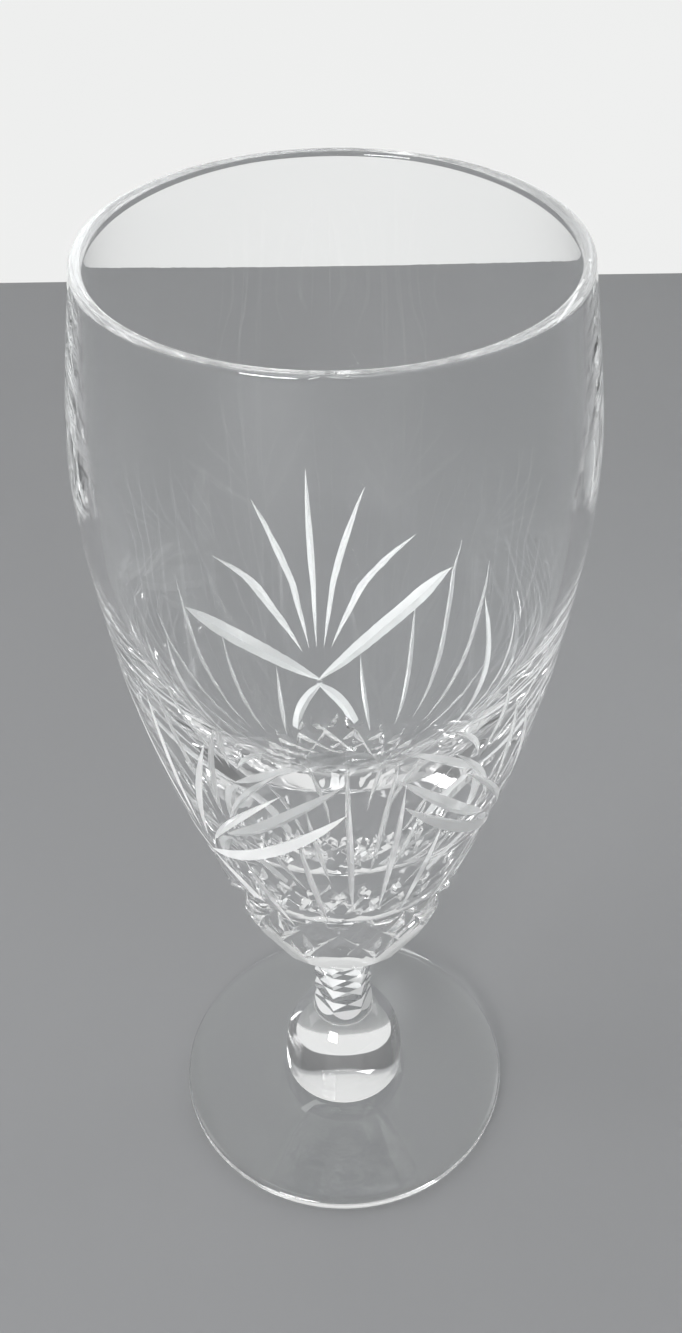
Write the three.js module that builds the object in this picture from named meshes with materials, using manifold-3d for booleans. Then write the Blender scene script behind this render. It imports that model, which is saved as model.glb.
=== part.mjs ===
// Stemmed iced tea glass of clear cut crystal: foot, knop, six-sided stem and cut bowl.
// Millimetres, +Z up. The origin is the middle of the foot's underside, and a fan of cuts looks to +Y.

import * as THREE from 'three';
import Module from 'manifold-3d';
import { mergeVertices } from 'three/addons/utils/BufferGeometryUtils.js';

const wasm = await Module();
wasm.setup();

// Foot
const footRadius = 34;
const footEdge = 2.6;          // thickness of the rounded edge
const footSeatHeight = 5;      // height of the flat seat in the middle
const footHollowDepth = 0.8;   // hollow under the foot
const footRestWidth = 7;       // flat ring that the glass stands on
const footRestInset = 1.3;     // from the widest point of the edge to that ring
const footHollowShare = 0.6;   // share of the hollow that is nearly level

// Knop
const knopHeight = 22;
const knopBaseRadius = 12.3;
const knopNeckRadius = 5.95;
const knopUpright = 4;         // straight part above the foot
const knopDomeHeight = 17;     // height that the dome would have with no neck
const knopScallopHeight = 4.3; // how far the stem's flats run down
const knopScallopRadius = 7.3; // where the flats run out on the dome

// Stem
const stemLength = 16;
const stemAcrossCorners = 11.6;
const stemSides = 6;
const notchRows = 4;
const notchDepth = 1.4;

// Bowl, outside: radii, and heights above its base
const bowlHeight = 147;
const bowlBaseRadius = 6.3;
const lowRadius = 10.8;        // just above the stem
const lowHeight = 4.5;
const bulbRadius = 17.6;       // round underside
const bulbHeight = 15;
const waistRadius = 24;
const waistHeight = 35;
const flareRadius = 32.5;
const flareHeight = 65;
const breastRadius = 37.2;
const breastHeight = 92;
const bellyRadius = 38.9;      // widest place
const bellyHeight = 118;
const rimRadius = 35.2;

// Bowl, inside: thickness of the wall, which grows towards a solid base
const rimWall = 1.8;
const bellyWall = 2.4;
const shoulderWall = 2.9;
const shoulderHeight = 90;     // the wall starts to thicken here
const flareWall = 6.6;
const funnelWall = 9.8;
const cupWall = 13;
const floorHeight = 26;        // middle of the floor inside
const cupRise = 3.5;           // from the floor to the rounded bottom's edge
const funnelRise = 14;         // from the floor to where the cavity opens like a funnel

// Cuts on the bowl, as [degrees from the motif's axis, height above the bowl's base]
const fanCount = 3;
const fanNodeHeight = 48;
const fanStart = 5;            // gap between the node and the inner blades
const fanTips = [[0, 89], [18.3, 85], [37, 77]];
const fanFootShare = 0.15;     // share of its spread that a blade has at its foot
const fanMiddleShare = 0.5;
const fanWing = [53, 73];
const wingMiddle = [0.55, 0.32];
const wingOverlap = 2;         // how far past the axis a wing starts, in degrees
const wingDrop = 1;            // how far below the node a wing starts
const archFoot = [23, 27];
const archMiddleShare = 0.75;
const archMiddleLift = 4;
const plumeBlades = [[7, 80, 39], [20.5, 65, 35], [41.5, 53, 31]];  // spread, tip, foot
const plumeFootShare = 0.7;
const plumeMiddleShare = 0.95;
const bladeDepth = 0.6;
const wingDepth = 1.1;
const plumeDepth = 0.5;
const mitreHalfAngle = THREE.MathUtils.degToRad(52);
const firstAxis = 90;          // degrees from +X to the first fan
const bladeBluntness = 2;      // a cut runs out to its ends sooner where this is lower
const wingBluntness = 3;
const fluteBluntness = 6;

// Lattice of crossing flutes round the bowl's base, and two rows of flats below it
const fluteCount = 18;
const fluteLow = 17;
const fluteSlope = THREE.MathUtils.degToRad(56);
const fluteDepth = 1.5;
const crossDepth = 1.2;        // depth of the flutes that cross them
const fluteHalfAngle = THREE.MathUtils.degToRad(60);
const fluteShortest = 3;       // shorter runs of a flute are left out
const latticeHigh = 36;        // upper edge of the lattice
const archPeakHeight = 40;     // upper edge of the lattice under an arch
const archPeakSpread = 21;
const petalCount = 9;
const petalHeight = 6;
const petalDepth = 0.75;
const kiteHeight = 17;         // flats between the petals and the lattice
const kiteDepth = 1;

// Facets of the model
const roundSegments = 48;
const hollowSteps = 5;
const edgeSteps = 6;
const topSteps = 9;
const domeSteps = 14;
const rimSteps = 4;
const wallSamples = 160;       // points of the wall's outline that radii are read from
const outsideSteps = 24;
const insideSteps = 14;
const fanSteps = 6;
const plumeSteps = 4;
const fluteSteps = 4;
const fluteStride = 0.5;       // step of height along a flute
const cutterLift = 0.8;        // how far a cutter stands proud of the wall
const runOut = 0.05;           // how far a cutter's ends stand clear of the wall
const slopeStep = 0.5;         // step of height for the wall's slope

const knopBase = footSeatHeight;
const stemBase = knopBase + knopHeight;
const bowlBase = stemBase + stemLength;
const stemCornerRadius = stemAcrossCorners / 2;
const stemApothem = stemCornerRadius * Math.cos(Math.PI / stemSides);

function glassMaterial() {
  return new THREE.MeshStandardMaterial({
    color: 0xdfe6e6, roughness: 0.03, metalness: 0, transparent: true, opacity: 0.35,
  });
}

// A closed geometry as a solid for cutting
function toSolid(geometry) {
  const bare = geometry.index ? geometry.clone() : geometry;
  bare.deleteAttribute('normal');
  bare.deleteAttribute('uv');
  const merged = mergeVertices(bare, 1e-5);
  return new wasm.Manifold(new wasm.Mesh({
    numProp: 3,
    vertProperties: new Float32Array(merged.attributes.position.array),
    triVerts: new Uint32Array(merged.index.array),
  }));
}

function toGeometry(solid) {
  const mesh = solid.getMesh();
  const geometry = new THREE.BufferGeometry();
  geometry.setAttribute('position', new THREE.BufferAttribute(mesh.vertProperties, 3));
  geometry.setIndex(new THREE.BufferAttribute(mesh.triVerts, 1));
  geometry.computeVertexNormals();
  return geometry;
}

// A profile of [radius, height] points turned about +Z, from the axis to the axis
function turned(profile) {
  const points = profile.map(([radius, height]) => new THREE.Vector2(radius, height));
  return new THREE.LatheGeometry(points, roundSegments).rotateX(Math.PI / 2);
}

function arcPoints(centre, radius, from, to, steps) {
  const points = [];
  for (let i = 0; i <= steps; i += 1) {
    const angle = from + ((to - from) * i) / steps;
    points.push([centre[0] + radius * Math.cos(angle), centre[1] + radius * Math.sin(angle)]);
  }
  return points;
}

function curvePoints(curve, steps) {
  return curve.getPoints(steps).map((point) => [point.x, point.y]);
}

// Foot: hollow underneath, flat resting ring, rounded edge, top rising gently to the knop's seat
function makeFoot() {
  const edge = footEdge / 2;
  const restOuter = footRadius - footRestInset;
  const restInner = restOuter - footRestWidth;
  const topRise = new THREE.CubicBezierCurve(
    new THREE.Vector2(footRadius - edge, footEdge),
    new THREE.Vector2((footRadius + knopBaseRadius) / 2, footEdge),
    new THREE.Vector2(knopBaseRadius + footEdge, (footEdge + footSeatHeight) / 2),
    new THREE.Vector2(knopBaseRadius, footSeatHeight),
  );
  const hollow = new THREE.QuadraticBezierCurve(
    new THREE.Vector2(0, footHollowDepth),
    new THREE.Vector2(restInner * footHollowShare, footHollowDepth),
    new THREE.Vector2(restInner, 0),
  );
  return turned([
    ...curvePoints(hollow, hollowSteps),
    [restOuter, 0],
    ...arcPoints([footRadius - edge, edge], edge, -Math.PI / 3, Math.PI / 2, edgeSteps),
    ...curvePoints(topRise, topSteps).slice(1),
    [0, footSeatHeight],
  ]);
}

// Knop: an upright foot, a dome like half an ellipse and a neck scalloped where the stem's flats run out
function makeKnop() {
  const end = Math.acos(knopNeckRadius / knopBaseRadius);
  const dome = new THREE.EllipseCurve(0, knopUpright, knopBaseRadius, knopDomeHeight, 0, end);
  const body = turned([
    [0, 0], [knopBaseRadius, 0], ...curvePoints(dome, domeSteps), [knopNeckRadius, knopHeight], [0, knopHeight],
  ]);
  let solid = toSolid(body);
  for (let side = 0; side < stemSides; side += 1) {
    solid = solid.subtract(scallopCutter(side));
  }
  return toGeometry(solid);
}

// A slab that leans out from one flat of the stem and takes a scallop off the knop
function scallopCutter(side) {
  const width = stemAcrossCorners;
  const slab = new THREE.BoxGeometry(width, width, 2 * knopScallopHeight);
  const lean = Math.atan2(knopScallopRadius - stemApothem, knopScallopHeight);
  const matrix = new THREE.Matrix4().makeRotationZ(((side + 0.5) * 2 * Math.PI) / stemSides)
    .multiply(new THREE.Matrix4().makeTranslation(stemApothem, 0, knopHeight))
    .multiply(new THREE.Matrix4().makeRotationY(-lean))
    .multiply(new THREE.Matrix4().makeTranslation(width / 2, 0, 0));
  return toSolid(slab.applyMatrix4(matrix));
}

// Stem: a six-sided bar with rows of notches across its edges
function makeStem() {
  const outline = new THREE.Shape();
  for (let corner = 0; corner < stemSides; corner += 1) {
    const angle = (corner * 2 * Math.PI) / stemSides;
    const place = [stemCornerRadius * Math.cos(angle), stemCornerRadius * Math.sin(angle)];
    if (corner === 0) outline.moveTo(...place);
    else outline.lineTo(...place);
  }
  outline.closePath();
  const bar = new THREE.ExtrudeGeometry(outline, { depth: stemLength, bevelEnabled: false });
  let solid = toSolid(bar);
  for (let corner = 0; corner < stemSides; corner += 1) {
    for (let row = 0; row < notchRows; row += 1) {
      solid = solid.subtract(notchCutter(corner, row));
    }
  }
  return toGeometry(solid);
}

// A square bar on edge, laid across one corner of the stem
function notchCutter(corner, row) {
  const half = 2 * notchDepth;
  const bar = new THREE.CylinderGeometry(half, half, stemAcrossCorners, 4);
  const height = (stemLength * (row + 0.5)) / notchRows;
  const matrix = new THREE.Matrix4().makeRotationZ((corner * 2 * Math.PI) / stemSides)
    .multiply(new THREE.Matrix4().makeTranslation(stemCornerRadius - notchDepth + half, 0, height));
  return toSolid(bar.applyMatrix4(matrix));
}

// Bowl outline: one smooth curve from the base to the rim
const lipHeight = bowlHeight - rimWall / 2;
const bowlCurve = new THREE.SplineCurve([
  new THREE.Vector2(bowlBaseRadius, 0),
  new THREE.Vector2(lowRadius, lowHeight),
  new THREE.Vector2(bulbRadius, bulbHeight),
  new THREE.Vector2(waistRadius, waistHeight),
  new THREE.Vector2(flareRadius, flareHeight),
  new THREE.Vector2(breastRadius, breastHeight),
  new THREE.Vector2(bellyRadius, bellyHeight),
  new THREE.Vector2(rimRadius, lipHeight),
]);
const bowlPoints = bowlCurve.getPoints(wallSamples);

function wallRadius(height) {
  const last = bowlPoints.length - 1;
  let i = 1;
  while (i < last && bowlPoints[i].y < height) i += 1;
  const low = bowlPoints[i - 1];
  const high = bowlPoints[i];
  return low.x + ((high.x - low.x) * (height - low.y)) / (high.y - low.y);
}

function insideWall(height, thickness) {
  return new THREE.Vector2(wallRadius(height) - thickness, height);
}

function makeBowlBlank() {
  const rim = arcPoints([rimRadius - rimWall / 2, lipHeight], rimWall / 2, 0, Math.PI, rimSteps);
  const cavity = new THREE.SplineCurve([
    new THREE.Vector2(rimRadius - rimWall, lipHeight),
    insideWall(bellyHeight, bellyWall),
    insideWall(shoulderHeight, shoulderWall),
    insideWall(flareHeight, flareWall),
    insideWall(floorHeight + funnelRise, funnelWall),
    insideWall(floorHeight + cupRise, cupWall),
    new THREE.Vector2(0, floorHeight),
  ]);
  return turned([
    [0, 0], ...curvePoints(bowlCurve, outsideSteps).slice(0, -1),
    ...rim, ...curvePoints(cavity, insideSteps).slice(1),
  ]);
}

function onWall(degrees, height) {
  const angle = THREE.MathUtils.degToRad(degrees);
  const radius = wallRadius(height);
  return new THREE.Vector3(radius * Math.cos(angle), radius * Math.sin(angle), height);
}

function wallNormal(degrees, height) {
  const rise = wallRadius(height + slopeStep) - wallRadius(height - slopeStep);
  const slope = rise / (2 * slopeStep);
  const angle = THREE.MathUtils.degToRad(degrees);
  return new THREE.Vector3(Math.cos(angle), Math.sin(angle), -slope).normalize();
}

// A mitre cut: a V that follows a path on the wall and runs out at both ends, sooner where it is sharper
function mitreCutter(path, depth, halfAngle, steps, bluntness) {
  const rings = [];
  for (let i = 0; i <= steps; i += 1) {
    const share = i / steps;
    const here = path.getPoint(share);
    const ahead = path.getPoint(Math.min(1, (i + 1) / steps));
    const behind = path.getPoint(Math.max(0, (i - 1) / steps));
    const normal = wallNormal(here.x, here.y);
    const along = onWall(ahead.x, ahead.y).sub(onWall(behind.x, behind.y)).normalize();
    const across = new THREE.Vector3().crossVectors(along, normal).normalize();
    const bite = depth * (1 - Math.abs(2 * share - 1) ** bluntness) - runOut;
    const half = (bite + cutterLift) * Math.tan(halfAngle);
    const middle = onWall(here.x, here.y);
    const top = middle.clone().addScaledVector(normal, cutterLift);
    rings.push([
      middle.clone().addScaledVector(normal, -bite),
      top.clone().addScaledVector(across, half),
      top.clone().addScaledVector(across, -half),
    ]);
  }
  return toSolid(loftRings(rings));
}

// A closed body through triangular rings
function loftRings(rings) {
  const positions = rings.flat().flatMap((point) => point.toArray());
  const index = [0, 1, 2];
  for (let i = 0; i + 1 < rings.length; i += 1) {
    for (let side = 0; side < 3; side += 1) {
      const a = 3 * i + side;
      const b = 3 * i + ((side + 1) % 3);
      index.push(a, a + 3, b, b, a + 3, b + 3);
    }
  }
  const end = 3 * (rings.length - 1);
  index.push(end, end + 2, end + 1);
  const geometry = new THREE.BufferGeometry();
  geometry.setAttribute('position', new THREE.Float32BufferAttribute(positions, 3));
  geometry.setIndex(index);
  return geometry;
}

function bend(from, middle, to) {
  return new THREE.QuadraticBezierCurve(
    new THREE.Vector2(...from), new THREE.Vector2(...middle), new THREE.Vector2(...to),
  );
}

function bladeCut(path) {
  return mitreCutter(path, bladeDepth, mitreHalfAngle, fanSteps, bladeBluntness);
}

function wingCut(path) {
  return mitreCutter(path, wingDepth, mitreHalfAngle, fanSteps, wingBluntness);
}

// One fan: blades above its node, two wings that cross there and an arch below
function fanCutters(axis) {
  const cutters = [];
  const start = fanNodeHeight + fanStart;
  for (const [spread, tip] of fanTips) {
    for (const hand of spread === 0 ? [1] : [1, -1]) {
      const from = [axis + hand * spread * fanFootShare, start];
      const middle = [axis + hand * spread * fanMiddleShare, (start + tip) / 2];
      cutters.push(bladeCut(bend(from, middle, [axis + hand * spread, tip])));
    }
  }
  const [wingSpread, wingTip] = fanWing;
  const [archSpread, archLow] = archFoot;
  for (const hand of [1, -1]) {
    const node = [axis - hand * wingOverlap, fanNodeHeight - wingDrop];
    const wingRise = fanNodeHeight + (wingTip - fanNodeHeight) * wingMiddle[1];
    const wingBend = [axis + hand * wingSpread * wingMiddle[0], wingRise];
    cutters.push(wingCut(bend(node, wingBend, [axis + hand * wingSpread, wingTip])));
    const archRise = (fanNodeHeight + archLow) / 2 + archMiddleLift;
    const archBend = [axis + hand * archSpread * archMiddleShare, archRise];
    cutters.push(wingCut(bend(node, archBend, [axis + hand * archSpread, archLow])));
  }
  return cutters;
}

// One plume: thin blades that rise from a root between two fans
function plumeCutters(axis) {
  const cutters = [];
  for (const [spread, tip, foot] of plumeBlades) {
    for (const hand of [1, -1]) {
      const from = [axis + hand * spread * plumeFootShare, foot];
      const middle = [axis + hand * spread * plumeMiddleShare, (foot + tip) / 2];
      const path = bend(from, middle, [axis + hand * spread, tip]);
      cutters.push(mitreCutter(path, plumeDepth, mitreHalfAngle, plumeSteps, bladeBluntness));
    }
  }
  return cutters;
}

// Upper edge of the lattice, with a peak under each arch
function latticeTop(degrees) {
  const sector = 360 / fanCount;
  const turn = THREE.MathUtils.euclideanModulo(degrees - firstAxis + sector / 2, sector);
  const aside = Math.abs(turn - sector / 2);
  return latticeHigh + (archPeakHeight - latticeHigh) * Math.max(0, 1 - aside / archPeakSpread);
}

// A path that climbs the wall at a steady slope, as the runs of it that lie in the lattice
function fluteRuns(start, hand) {
  const runs = [[]];
  let degrees = start;
  for (let height = fluteLow; height < archPeakHeight; height += fluteStride) {
    const run = runs[runs.length - 1];
    if (height < latticeTop(degrees)) run.push(new THREE.Vector2(degrees, height));
    else if (run.length > 0) runs.push([]);
    const turn = fluteStride / (wallRadius(height) * Math.tan(fluteSlope));
    degrees += hand * THREE.MathUtils.radToDeg(turn);
  }
  return runs.filter((run) => run.length * fluteStride > fluteShortest);
}

// Flutes of two families that cross in a lattice of diamonds
function fluteCutters() {
  const cutters = [];
  for (let i = 0; i < fluteCount; i += 1) {
    const start = firstAxis + ((i + 0.5) * 360) / fluteCount;
    for (const [hand, depth] of [[1, fluteDepth], [-1, crossDepth]]) {
      for (const run of fluteRuns(start, hand)) {
        const path = new THREE.SplineCurve(run);
        cutters.push(mitreCutter(path, depth, fluteHalfAngle, fluteSteps, fluteBluntness));
      }
    }
  }
  return cutters;
}

// A block whose face takes a flat off the wall
function flatCutter(degrees, height, depth) {
  const size = 2 * bulbRadius;
  const normal = wallNormal(degrees, height);
  const place = onWall(degrees, height).addScaledVector(normal, size / 2 - depth);
  const turn = new THREE.Quaternion().setFromUnitVectors(new THREE.Vector3(1, 0, 0), normal);
  const block = new THREE.BoxGeometry(size, size, size);
  return toSolid(block.applyQuaternion(turn).translate(place.x, place.y, place.z));
}

function makeBowl() {
  let solid = toSolid(makeBowlBlank());
  const cutters = fluteCutters();
  for (let i = 0; i < fanCount; i += 1) {
    const axis = firstAxis + (i * 360) / fanCount;
    cutters.push(...fanCutters(axis), ...plumeCutters(axis + 180 / fanCount));
  }
  for (let i = 0; i < petalCount; i += 1) {
    cutters.push(flatCutter((i * 360) / petalCount, petalHeight, petalDepth));
    cutters.push(flatCutter(((i + 0.5) * 360) / petalCount, kiteHeight, kiteDepth));
  }
  for (const cutter of cutters) solid = solid.subtract(cutter);
  return toGeometry(solid);
}

function piece(name, geometry, height) {
  const mesh = new THREE.Mesh(geometry, glassMaterial());
  mesh.name = name;
  mesh.position.z = height;
  return mesh;
}

const glass = new THREE.Group();
glass.add(piece('foot', makeFoot(), 0));
glass.add(piece('knop', makeKnop(), knopBase));
glass.add(piece('stem', makeStem(), stemBase));
glass.add(piece('bowl', makeBowl(), bowlBase));

export default glass;
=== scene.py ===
"""Stemmed iced tea glass of clear cut crystal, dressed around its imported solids.

Laid out as an add-on and run as a script. Metres, +Z up, origin under the middle of the foot.
"""

import math

import bmesh
import bpy
import numpy as np
from bpy.props import FloatProperty, FloatVectorProperty, IntProperty, PointerProperty
from mathutils import Matrix, Vector


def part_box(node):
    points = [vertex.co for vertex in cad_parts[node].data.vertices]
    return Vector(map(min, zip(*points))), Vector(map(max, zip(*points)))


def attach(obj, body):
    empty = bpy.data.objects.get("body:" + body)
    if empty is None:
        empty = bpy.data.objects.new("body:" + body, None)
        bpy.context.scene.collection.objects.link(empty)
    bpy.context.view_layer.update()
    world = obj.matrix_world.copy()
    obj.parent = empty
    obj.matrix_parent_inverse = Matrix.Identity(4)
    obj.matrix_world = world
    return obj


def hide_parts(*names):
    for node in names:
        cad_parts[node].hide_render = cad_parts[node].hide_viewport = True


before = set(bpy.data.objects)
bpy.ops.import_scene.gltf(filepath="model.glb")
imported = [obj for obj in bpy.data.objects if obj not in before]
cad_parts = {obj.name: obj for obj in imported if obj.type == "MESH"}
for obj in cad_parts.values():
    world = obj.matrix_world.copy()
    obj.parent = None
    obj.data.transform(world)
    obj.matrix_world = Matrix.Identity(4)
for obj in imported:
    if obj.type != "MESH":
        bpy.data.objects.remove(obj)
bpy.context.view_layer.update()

bl_info = {
    "name": "Cut crystal iced tea glass",
    "version": (1, 0, 0),
    "blender": (4, 5, 0),
    "location": "3D View > Sidebar > Glass",
    "description": "Builds a stemmed cut crystal glass around its packed solids",
    "category": "Add Mesh",
}

MM = 0.001
FOOT_LOW, FOOT_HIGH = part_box("foot")
KNOP_LOW, KNOP_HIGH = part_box("knop")
STEM_LOW, STEM_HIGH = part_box("stem")
BOWL_LOW, BOWL_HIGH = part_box("bowl")

# Fineness of the meshes
ROUND_SEGMENTS = 288
WALL_SAMPLES = 400
CAVITY_STEPS = 70
RIM_STEPS = 12
BOWL_ROWS = (96, 80)
KNOP_ROWS = 40
FOOT_ROWS = 40
HOLLOW_ROWS = 30
EDGE_ROWS = 16
REST_ROWS = 5
STEM_SPLITS = 7
CUT_STEPS = 17
FLUTE_STEPS = 25
FLUTE_SAMPLE = 0.25 * MM

# Fineness of the outlines that give the normals, and points matched with them at a time
BOWL_NORMAL_ROWS = (400, 400)
KNOP_NORMAL_ROWS = 300
MATCH_BATCH = 4000

# Cutters: how far they stand proud, where they run out, how full their ends are, and a block's side
CUT_LIFT = 0.9 * MM
RUN_OUT = 0.05 * MM
BLADE_BLUNTNESS = 2.0
WING_BLUNTNESS = 3.0
FLUTE_BLUNTNESS = 6.0
BLOCK = 40 * MM

# Ends of a fan's cuts, as degrees from its axis and height above the bowl's base
FAN_TIPS = ((0, 89 * MM), (18.3, 85 * MM), (37, 77 * MM), (-18.3, 85 * MM), (-37, 77 * MM))
WING_TIP = (53, 73 * MM)
ARCH_FOOT = (23, 27 * MM)

# Start of the wings and the arch, as degrees past the fan's axis and distance under its node
PAST_NODE = (2, 1 * MM)

# Blades on one side of a plume, as degrees from its axis, height of the tip and height of the foot
PLUME_BLADES = ((7, 80 * MM, 39 * MM), (20.5, 65 * MM, 35 * MM), (41.5, 53 * MM, 31 * MM))

# Bends: shares of a blade's spread at its foot and half way, of a wing's spread and rise,
# of an arch's spread, how far the arch swells up, and a share of the hollow under the foot
FAN_BEND = (0.15, 0.5)
PLUME_BEND = (0.7, 0.95)
WING_BEND = (0.55, 0.32)
ARCH_BEND = 0.75
ARCH_SWELL = 4 * MM
HOLLOW_BEND = 0.6

# Marks in the crystal's surface: fineness, stretch along each axis and depth
FLOW_MARKS = (130.0, (1.0, 1.0, 0.07), 0.012 * MM)
WHEEL_MARKS = (900.0, (1.0, 1.0, 0.6), 0.004 * MM)

# Lamps: name, size, watts, place, and whether the lamp shows through the glass
LAMP_TARGET = (0.0, 0.0, 0.1)
LAMPS = (
    ("overhead softbox", (0.3, 0.2), 0.5, (-0.2, 0.1, 1.0), True),
    ("front softbox", (0.45, 0.35), 10.5, (-0.65, -0.9, 0.5), True),
    ("left softbox", (0.2, 0.45), 0.5, (-0.5, 0.1, 0.3), False),
    ("right softbox", (0.2, 0.45), 0.5, (0.5, 0.1, 0.3), False),
)

# Points on the axis, edges that stay crisp, and faces that lie in a joint
ON_AXIS = 1e-7
SHARP_ANGLE = math.radians(24)
JOINT_TOLERANCE = 0.01 * MM
LEVEL_NORMAL = 0.999

# Turn at which the foot's rounded edge leaves the ring that it stands on
EDGE_START = -math.pi / 3

# Light paths, floor and camera
BOUNCES = 40
FLOOR_REACH = 3.0
FLOOR_DROP = 0.2 * MM
PHOTO_HEIGHT = 1333
SENSOR_HEIGHT = 24.0


def length(name, description, default):
    """A property that holds a length in metres."""
    return FloatProperty(name=name, description=description, default=default, unit="LENGTH", precision=5)


def angle(name, description, degrees):
    """A property that holds an angle."""
    return FloatProperty(name=name, description=description, default=math.radians(degrees), subtype="ANGLE")


def colour(name, description, default):
    """A property that holds a linear colour."""
    return FloatVectorProperty(
        name=name, description=description, default=default, subtype="COLOR", size=3, min=0.0, max=1.0)


class BowlSizes(bpy.types.PropertyGroup):
    """Outline of the bowl: radii, and heights above its base."""

    base_radius: length("Base radius", "Where the bowl meets the stem", 6.3 * MM)
    low_radius: length("Low radius", "Just above the stem", 10.8 * MM)
    low_height: length("Low height", "Height of that place", 4.5 * MM)
    bulb_radius: length("Bulb radius", "Round underside of the bowl", 17.6 * MM)
    bulb_height: length("Bulb height", "Height of that place", 15.0 * MM)
    waist_radius: length("Waist radius", "Below the fans", 24.0 * MM)
    waist_height: length("Waist height", "Height of the waist", 35.0 * MM)
    flare_radius: length("Flare radius", "Where the wall opens out", 32.5 * MM)
    flare_height: length("Flare height", "Height of that place", 65.0 * MM)
    breast_radius: length("Breast radius", "Under the widest place", 37.2 * MM)
    breast_height: length("Breast height", "Height of that place", 92.0 * MM)
    belly_radius: length("Belly radius", "Widest place", 38.9 * MM)
    belly_height: length("Belly height", "Height of the widest place", 118.0 * MM)
    rim_radius: length("Rim radius", "Outside of the rim", 35.2 * MM)
    rim_wall: length("Rim wall", "Thickness of the rim", 1.8 * MM)
    belly_wall: length("Belly wall", "Thickness at the widest place", 2.4 * MM)
    shoulder_wall: length("Shoulder wall", "Thickness where the wall starts to grow", 2.9 * MM)
    shoulder_height: length("Shoulder height", "Height of that place", 90.0 * MM)
    flare_wall: length("Flare wall", "Thickness where the wall opens out", 6.6 * MM)
    funnel_wall: length("Funnel wall", "Thickness where the cavity opens like a funnel", 9.8 * MM)
    cup_wall: length("Cup wall", "Thickness at the rounded bottom's edge", 13.0 * MM)
    floor_height: length("Floor height", "Middle of the floor inside", 26.0 * MM)
    cup_rise: length("Cup rise", "From the floor to the rounded bottom's edge", 3.5 * MM)
    funnel_rise: length("Funnel rise", "From the floor to the funnel", 14.0 * MM)


class CutPattern(bpy.types.PropertyGroup):
    """Traditional wheel-cut pattern: fans, plumes, crossing flutes and petals."""

    fans: IntProperty(name="Fans", description="Fans round the bowl", default=3, min=1)
    fan_node: length("Fan node", "Height where a fan's blades meet", 48.0 * MM)
    fan_gap: length("Fan gap", "From the node to the inner blades", 5.0 * MM)
    blade_depth: length("Blade depth", "Depth of a fan's inner blades", 0.6 * MM)
    wing_depth: length("Wing depth", "Depth of a fan's wings and arch", 1.1 * MM)
    plume_depth: length("Plume depth", "Depth of a plume's blades", 0.5 * MM)
    mitre: angle("Mitre", "Half the angle of a mitre cut", 52)
    flutes: IntProperty(name="Flutes", description="Flutes of one family round the bowl", default=18, min=3)
    flute_low: length("Flute foot", "Lower end of the flutes", 17.0 * MM)
    flute_slope: angle("Flute slope", "How steeply a flute climbs", 56)
    flute_depth: length("Flute depth", "Depth of the flutes that rise to the right", 1.5 * MM)
    cross_depth: length("Cross depth", "Depth of the flutes that cross them", 1.2 * MM)
    flute_mitre: angle("Flute mitre", "Half the angle of a flute", 60)
    flute_shortest: length("Shortest flute", "Shorter runs of a flute are left out", 3.0 * MM)
    lattice_high: length("Lattice height", "Upper edge of the lattice", 36.0 * MM)
    arch_peak: length("Arch peak", "Upper edge of the lattice under an arch", 40.0 * MM)
    arch_peak_spread: angle("Arch peak spread", "Half the width of that peak", 21)
    petals: IntProperty(
        name="Petals", description="Flat petals in each row above the stem", default=9, min=3)
    petal_depth: length("Petal depth", "Depth of the lower petals", 0.75 * MM)
    petal_height: length("Petal height", "Height of the lower petals' middle", 6.0 * MM)
    kite_depth: length("Kite depth", "Depth of the flats above the petals", 1.0 * MM)
    kite_height: length("Kite height", "Height of those flats' middle", 17.0 * MM)


class StemSizes(bpy.types.PropertyGroup):
    """Six-sided stem and its notches."""

    across_corners: length("Across corners", "Width of the stem over its edges", 11.6 * MM)
    sides: IntProperty(name="Sides", description="Flats of the stem", default=6, min=3)
    rows: IntProperty(name="Rows", description="Rows of notches", default=4, min=1)
    notch_depth: length("Notch depth", "Depth of a notch in an edge", 1.4 * MM)


class KnopSizes(bpy.types.PropertyGroup):
    """Bell-shaped knop under the stem."""

    base_radius: length("Base radius", "Where the knop sits on the foot", 12.3 * MM)
    neck_radius: length("Neck radius", "Under the stem", 5.95 * MM)
    upright: length("Upright", "Straight part above the foot", 4.0 * MM)
    dome_height: length("Dome height", "Height that the dome would have with no neck", 17.0 * MM)
    scallop_height: length("Scallop height", "How far the stem's flats run down", 4.3 * MM)
    scallop_radius: length("Scallop radius", "Where the flats run out on the dome", 7.3 * MM)


class FootSizes(bpy.types.PropertyGroup):
    """Round foot."""

    radius: length("Radius", "Outside of the foot", FOOT_HIGH.x)
    edge: length("Edge", "Thickness of the rounded edge", 2.6 * MM)
    hollow_depth: length("Hollow depth", "Hollow under the foot", 0.8 * MM)
    rest_width: length("Rest width", "Flat ring that it stands on", 7.0 * MM)
    rest_inset: length("Rest inset", "From the edge to that ring", 1.3 * MM)


class CrystalLook(bpy.types.PropertyGroup):
    """Finish of the crystal."""

    tint: colour("Tint", "Colour of the clear crystal", (0.985, 0.99, 0.99))
    refraction: FloatProperty(name="Refraction", description="Index of refraction", default=1.54, min=1.0)
    shade: colour(
        "Shade", "Lamp light that a polished surface below the bowl lets through", (0.6, 0.61, 0.61))
    bowl_shade: colour(
        "Bowl shade", "Lamp light that the bowl's surfaces and satin cuts let through", (0.88, 0.89, 0.89))


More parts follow.
